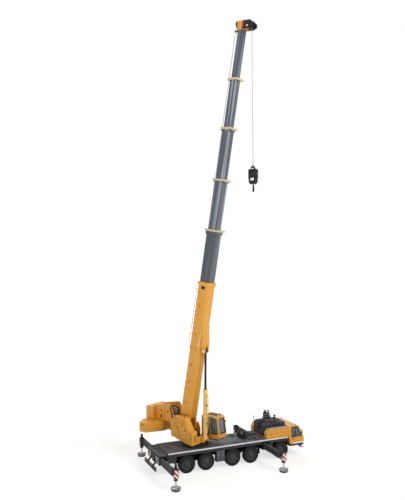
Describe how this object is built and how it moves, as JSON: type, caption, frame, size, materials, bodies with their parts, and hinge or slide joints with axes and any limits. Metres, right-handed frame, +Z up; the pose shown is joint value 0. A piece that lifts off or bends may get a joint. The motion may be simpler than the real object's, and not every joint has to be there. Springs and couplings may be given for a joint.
{
  "type": "mobile crane",
  "caption": "Die-cast scale model of a wheeled mobile crane with a telescopic boom raised over one side, outriggers out and a hook on a single rope fall.",
  "frame": {"origin": "under the centre of the whole model's bounding box, on the ground that wheels and outrigger pads stand on", "axes": "+X forward along the carrier, +Y to its left, +Z up"},
  "size_m": [0.2662, 0.2076, 0.6998],
  "materials": {
    "axle_1": "satin paint on die-cast metal",
    "axle_2": "satin paint on die-cast metal",
    "axle_3": "satin paint on die-cast metal",
    "axle_4": "satin paint on die-cast metal",
    "axle_5": "satin paint on die-cast metal",
    "boom_base": "satin paint on die-cast metal",
    "boom_rest": "satin paint on die-cast metal",
    "boom_section_1": "satin paint on die-cast metal",
    "boom_section_2": "satin paint on die-cast metal",
    "boom_section_3": "satin paint on die-cast metal",
    "boom_section_4": "satin paint on die-cast metal",
    "boom_section_5": "satin paint on die-cast metal",
    "carrier_deck": "satin paint on die-cast metal",
    "chassis_frame": "satin paint on die-cast metal",
    "counterweight": "satin paint on die-cast metal",
    "crane_cab": "satin paint on die-cast metal",
    "crane_cab_windows": "clear tinted moulding",
    "crane_seat": "matt",
    "driver_cab": "satin paint on die-cast metal",
    "driver_cab_seats": "matt",
    "driver_cab_windows": "clear tinted moulding",
    "engine_cover": "satin paint on die-cast metal",
    "exhaust_stack": "satin paint on die-cast metal",
    "front_side_boxes": "satin paint on die-cast metal",
    "head_sheave": "satin paint on die-cast metal",
    "hoist_drum": "satin paint on die-cast metal",
    "hoist_rope": "thin cord",
    "hook": "satin paint on die-cast metal",
    "hook_block": "satin paint on die-cast metal",
    "jack_front_left": "bright plates and rod on a black pad",
    "jack_front_right": "bright plates and rod on a black pad",
    "jack_rear_left": "bright plates and rod on a black pad",
    "jack_rear_right": "bright plates and rod on a black pad",
    "knuckle_1_left": "satin paint on die-cast metal",
    "knuckle_1_right": "satin paint on die-cast metal",
    "knuckle_2_left": "satin paint on die-cast metal",
    "knuckle_2_right": "satin paint on die-cast metal",
    "knuckle_4_left": "satin paint on die-cast metal",
    "knuckle_4_right": "satin paint on die-cast metal",
    "knuckle_5_left": "satin paint on die-cast metal",
    "knuckle_5_right": "satin paint on die-cast metal",
    "luffing_barrel": "satin paint on die-cast metal",
    "luffing_rod": "gloss black",
    "machinery_housing": "satin paint on die-cast metal",
    "outrigger_beam_front_left": "satin paint on die-cast metal",
    "outrigger_beam_front_right": "satin paint on die-cast metal",
    "outrigger_beam_rear_left": "satin paint on die-cast metal",
    "outrigger_beam_rear_right": "satin paint on die-cast metal",
    "rear_guard": "satin paint on die-cast metal",
    "slewing_platform": "satin paint on die-cast metal",
    "wheel_1_left": "matt black tyre with a dark moulded hub",
    "wheel_1_right": "matt black tyre with a dark moulded hub",
    "wheel_2_left": "matt black tyre with a dark moulded hub",
    "wheel_2_right": "matt black tyre with a dark moulded hub",
    "wheel_3_left": "matt black tyre with a dark moulded hub",
    "wheel_3_right": "matt black tyre with a dark moulded hub",
    "wheel_4_left": "matt black tyre with a dark moulded hub",
    "wheel_4_right": "matt black tyre with a dark moulded hub",
    "wheel_5_left": "matt black tyre with a dark moulded hub",
    "wheel_5_right": "matt black tyre with a dark moulded hub"
  },
  "bodies": {
    "carrier": {"chassis_frame": "chassis_frame", "carrier_deck": "carrier_deck", "front_side_boxes": "front_side_boxes", "engine_cover": "engine_cover", "exhaust_stack": "exhaust_stack", "boom_rest": "boom_rest", "rear_guard": "rear_guard", "driver_cab": "driver_cab", "driver_cab_windows": "driver_cab_windows", "driver_cab_seats": "driver_cab_seats", "axle_1": "axle_1", "axle_2": "axle_2", "axle_3": "axle_3", "axle_4": "axle_4", "axle_5": "axle_5"},
    "wheel_1_left": {"wheel_1_left": "wheel_1_left"},
    "knuckle_1_left": {"knuckle_1_left": "knuckle_1_left"},
    "wheel_1_right": {"wheel_1_right": "wheel_1_right"},
    "knuckle_1_right": {"knuckle_1_right": "knuckle_1_right"},
    "wheel_2_left": {"wheel_2_left": "wheel_2_left"},
    "knuckle_2_left": {"knuckle_2_left": "knuckle_2_left"},
    "wheel_2_right": {"wheel_2_right": "wheel_2_right"},
    "knuckle_2_right": {"knuckle_2_right": "knuckle_2_right"},
    "wheel_3_left": {"wheel_3_left": "wheel_3_left"},
    "wheel_3_right": {"wheel_3_right": "wheel_3_right"},
    "wheel_4_left": {"wheel_4_left": "wheel_4_left"},
    "knuckle_4_left": {"knuckle_4_left": "knuckle_4_left"},
    "wheel_4_right": {"wheel_4_right": "wheel_4_right"},
    "knuckle_4_right": {"knuckle_4_right": "knuckle_4_right"},
    "wheel_5_left": {"wheel_5_left": "wheel_5_left"},
    "knuckle_5_left": {"knuckle_5_left": "knuckle_5_left"},
    "wheel_5_right": {"wheel_5_right": "wheel_5_right"},
    "knuckle_5_right": {"knuckle_5_right": "knuckle_5_right"},
    "outrigger_beam_front_left": {"outrigger_beam_front_left": "outrigger_beam_front_left"},
    "jack_front_left": {"jack_front_left": "jack_front_left"},
    "outrigger_beam_front_right": {"outrigger_beam_front_right": "outrigger_beam_front_right"},
    "jack_front_right": {"jack_front_right": "jack_front_right"},
    "outrigger_beam_rear_left": {"outrigger_beam_rear_left": "outrigger_beam_rear_left"},
    "jack_rear_left": {"jack_rear_left": "jack_rear_left"},
    "outrigger_beam_rear_right": {"outrigger_beam_rear_right": "outrigger_beam_rear_right"},
    "jack_rear_right": {"jack_rear_right": "jack_rear_right"},
    "upper_works": {"slewing_platform": "slewing_platform", "machinery_housing": "machinery_housing", "counterweight": "counterweight"},
    "crane_cab": {"crane_cab": "crane_cab", "crane_cab_windows": "crane_cab_windows", "crane_seat": "crane_seat"},
    "hoist_drum": {"hoist_drum": "hoist_drum"},
    "boom": {"boom_base": "boom_base"},
    "luffing_barrel": {"luffing_barrel": "luffing_barrel"},
    "luffing_rod": {"luffing_rod": "luffing_rod"},
    "boom_section_1": {"boom_section_1": "boom_section_1"},
    "boom_section_2": {"boom_section_2": "boom_section_2"},
    "boom_section_3": {"boom_section_3": "boom_section_3"},
    "boom_section_4": {"boom_section_4": "boom_section_4"},
    "boom_section_5": {"boom_section_5": "boom_section_5"},
    "head_sheave": {"head_sheave": "head_sheave", "hoist_rope": "hoist_rope"},
    "hook_block": {"hook_block": "hook_block"},
    "hook": {"hook": "hook"}
  },
  "joints": [
    {"name": "steer_1_left", "type": "hinge", "parent": "carrier", "child": "knuckle_1_left", "pos_m": [0.0881, 0.02443, 0.0137], "axis": [0, 0, 1], "range_deg": [-22, 22]},
    {"name": "roll_1_left", "type": "hinge", "parent": "knuckle_1_left", "child": "wheel_1_left", "pos_m": [0.0881, 0.03113, 0.0137], "axis": [0, 1, 0], "continuous": true},
    {"name": "steer_1_right", "type": "hinge", "parent": "carrier", "child": "knuckle_1_right", "pos_m": [0.0881, -0.00957, 0.0137], "axis": [0, 0, 1], "range_deg": [-22, 22]},
    {"name": "roll_1_right", "type": "hinge", "parent": "knuckle_1_right", "child": "wheel_1_right", "pos_m": [0.0881, -0.01627, 0.0137], "axis": [0, 1, 0], "continuous": true},
    {"name": "steer_2_left", "type": "hinge", "parent": "carrier", "child": "knuckle_2_left", "pos_m": [0.0313, 0.02443, 0.0137], "axis": [0, 0, 1], "range_deg": [-16.5, 16.5]},
    {"name": "roll_2_left", "type": "hinge", "parent": "knuckle_2_left", "child": "wheel_2_left", "pos_m": [0.0313, 0.03113, 0.0137], "axis": [0, 1, 0], "continuous": true},
    {"name": "steer_2_right", "type": "hinge", "parent": "carrier", "child": "knuckle_2_right", "pos_m": [0.0313, -0.00957, 0.0137], "axis": [0, 0, 1], "range_deg": [-16.5, 16.5]},
    {"name": "roll_2_right", "type": "hinge", "parent": "knuckle_2_right", "child": "wheel_2_right", "pos_m": [0.0313, -0.01627, 0.0137], "axis": [0, 1, 0], "continuous": true},
    {"name": "roll_3_left", "type": "hinge", "parent": "carrier", "child": "wheel_3_left", "pos_m": [-0.0017, 0.03113, 0.0137], "axis": [0, 1, 0], "continuous": true},
    {"name": "roll_3_right", "type": "hinge", "parent": "carrier", "child": "wheel_3_right", "pos_m": [-0.0017, -0.01627, 0.0137], "axis": [0, 1, 0], "continuous": true},
    {"name": "steer_4_left", "type": "hinge", "parent": "carrier", "child": "knuckle_4_left", "pos_m": [-0.0481, 0.02443, 0.0137], "axis": [0, 0, 1], "range_deg": [-13.2, 13.2]},
    {"name": "roll_4_left", "type": "hinge", "parent": "knuckle_4_left", "child": "wheel_4_left", "pos_m": [-0.0481, 0.03113, 0.0137], "axis": [0, 1, 0], "continuous": true},
    {"name": "steer_4_right", "type": "hinge", "parent": "carrier", "child": "knuckle_4_right", "pos_m": [-0.0481, -0.00957, 0.0137], "axis": [0, 0, 1], "range_deg": [-13.2, 13.2]},
    {"name": "roll_4_right", "type": "hinge", "parent": "knuckle_4_right", "child": "wheel_4_right", "pos_m": [-0.0481, -0.01627, 0.0137], "axis": [0, 1, 0], "continuous": true},
    {"name": "steer_5_left", "type": "hinge", "parent": "carrier", "child": "knuckle_5_left", "pos_m": [-0.0811, 0.02443, 0.0137], "axis": [0, 0, 1], "range_deg": [-22, 22]},
    {"name": "roll_5_left", "type": "hinge", "parent": "knuckle_5_left", "child": "wheel_5_left", "pos_m": [-0.0811, 0.03113, 0.0137], "axis": [0, 1, 0], "continuous": true},
    {"name": "steer_5_right", "type": "hinge", "parent": "carrier", "child": "knuckle_5_right", "pos_m": [-0.0811, -0.00957, 0.0137], "axis": [0, 0, 1], "range_deg": [-22, 22]},
    {"name": "roll_5_right", "type": "hinge", "parent": "knuckle_5_right", "child": "wheel_5_right", "pos_m": [-0.0811, -0.01627, 0.0137], "axis": [0, 1, 0], "continuous": true},
    {"name": "outrigger_front_left", "type": "slide", "parent": "carrier", "child": "outrigger_beam_front_left", "axis": [0, 1, 0], "range_m": [-0.0494, 0]},
    {"name": "jack_front_left", "type": "slide", "parent": "outrigger_beam_front_left", "child": "jack_front_left", "axis": [0, 0, -1], "range_m": [-0.0076, 0]},
    {"name": "outrigger_front_right", "type": "slide", "parent": "carrier", "child": "outrigger_beam_front_right", "axis": [0, -1, 0], "range_m": [-0.0494, 0]},
    {"name": "jack_front_right", "type": "slide", "parent": "outrigger_beam_front_right", "child": "jack_front_right", "axis": [0, 0, -1], "range_m": [-0.0076, 0]},
    {"name": "outrigger_rear_left", "type": "slide", "parent": "carrier", "child": "outrigger_beam_rear_left", "axis": [0, 1, 0], "range_m": [-0.0494, 0]},
    {"name": "jack_rear_left", "type": "slide", "parent": "outrigger_beam_rear_left", "child": "jack_rear_left", "axis": [0, 0, -1], "range_m": [-0.0076, 0]},
    {"name": "outrigger_rear_right", "type": "slide", "parent": "carrier", "child": "outrigger_beam_rear_right", "axis": [0, -1, 0], "range_m": [-0.0494, 0]},
    {"name": "jack_rear_right", "type": "slide", "parent": "outrigger_beam_rear_right", "child": "jack_rear_right", "axis": [0, 0, -1], "range_m": [-0.0076, 0]},
    {"name": "slew", "type": "hinge", "parent": "carrier", "child": "upper_works", "pos_m": [-0.0553, 0.00743, 0], "axis": [0, 0, 1], "continuous": true},
    {"name": "cab_tilt", "type": "hinge", "parent": "upper_works", "child": "crane_cab", "pos_m": [-0.05485, 0.00654, 0.0432], "axis": [-0.8934, -0.4493, 0], "range_deg": [0, 20]},
    {"name": "drum_turn", "type": "hinge", "parent": "upper_works", "child": "hoist_drum", "pos_m": [-0.07866, 0.05389, 0.078], "axis": [-0.8934, -0.4493, 0], "continuous": true},
    {"name": "luff", "type": "hinge", "parent": "upper_works", "child": "boom", "pos_m": [-0.05961, 0.01601, 0.0606], "axis": [-0.8934, -0.4493, 0], "range_deg": [-79.5, 2.5]},
    {"name": "barrel_swing", "type": "hinge", "parent": "upper_works", "child": "luffing_barrel", "pos_m": [-0.04649, -0.01008, 0.0464], "axis": [-0.8934, -0.4493, 0], "range_deg": [-85.7, 2.8]},
    {"name": "rod_slide", "type": "slide", "parent": "luffing_barrel", "child": "luffing_rod", "axis": [0.0058, -0.0116, 0.9999], "range_m": [-0.04, 0.0013]},
    {"name": "telescope_1", "type": "slide", "parent": "boom", "child": "boom_section_1", "axis": [0.0819, -0.1628, 0.9833], "range_m": [-0.0739, 0.084]},
    {"name": "telescope_2", "type": "slide", "parent": "boom_section_1", "child": "boom_section_2", "axis": [0.0819, -0.1628, 0.9833], "range_m": [-0.0725, 0.084]},
    {"name": "telescope_3", "type": "slide", "parent": "boom_section_2", "child": "boom_section_3", "axis": [0.0819, -0.1628, 0.9833], "range_m": [-0.0725, 0.084]},
    {"name": "telescope_4", "type": "slide", "parent": "boom_section_3", "child": "boom_section_4", "axis": [0.0819, -0.1628, 0.9833], "range_m": [-0.0715, 0.084]},
    {"name": "telescope_5", "type": "slide", "parent": "boom_section_4", "child": "boom_section_5", "axis": [0.0819, -0.1628, 0.9833], "range_m": [-0.073, 0.084]},
    {"name": "sheave_turn", "type": "hinge", "parent": "boom_section_5", "child": "head_sheave", "pos_m": [-0.00526, -0.09205, 0.68745], "axis": [-0.8934, -0.4493, 0], "range_deg": [-2.5, 79.5]},
    {"name": "hoist", "type": "slide", "parent": "head_sheave", "child": "hook_block", "axis": [0, 0, -1], "range_m": [-0.202, 0.42], "deforming": ["hoist_rope"]},
    {"name": "hook_swivel", "type": "hinge", "parent": "hook_block", "child": "hook", "pos_m": [-0.00315, -0.09625, 0.44315], "axis": [0, 0, 1], "continuous": true}
  ],
  "couplings": [
    {"joint": "steer_1_right", "follows": "steer_1_left", "ratio": 1},
    {"joint": "steer_2_left", "follows": "steer_1_left", "ratio": 0.75},
    {"joint": "steer_2_right", "follows": "steer_1_left", "ratio": 0.75},
    {"joint": "steer_5_right", "follows": "steer_5_left", "ratio": 1},
    {"joint": "steer_4_left", "follows": "steer_5_left", "ratio": 0.6},
    {"joint": "steer_4_right", "follows": "steer_5_left", "ratio": 0.6},
    {"joint": "barrel_swing", "follows": "luff", "ratio": 1.0761},
    {"joint": "rod_slide", "follows": "luff", "m_per_rad": 0.028568},
    {"joint": "sheave_turn", "follows": "luff", "ratio": -1}
  ]
}
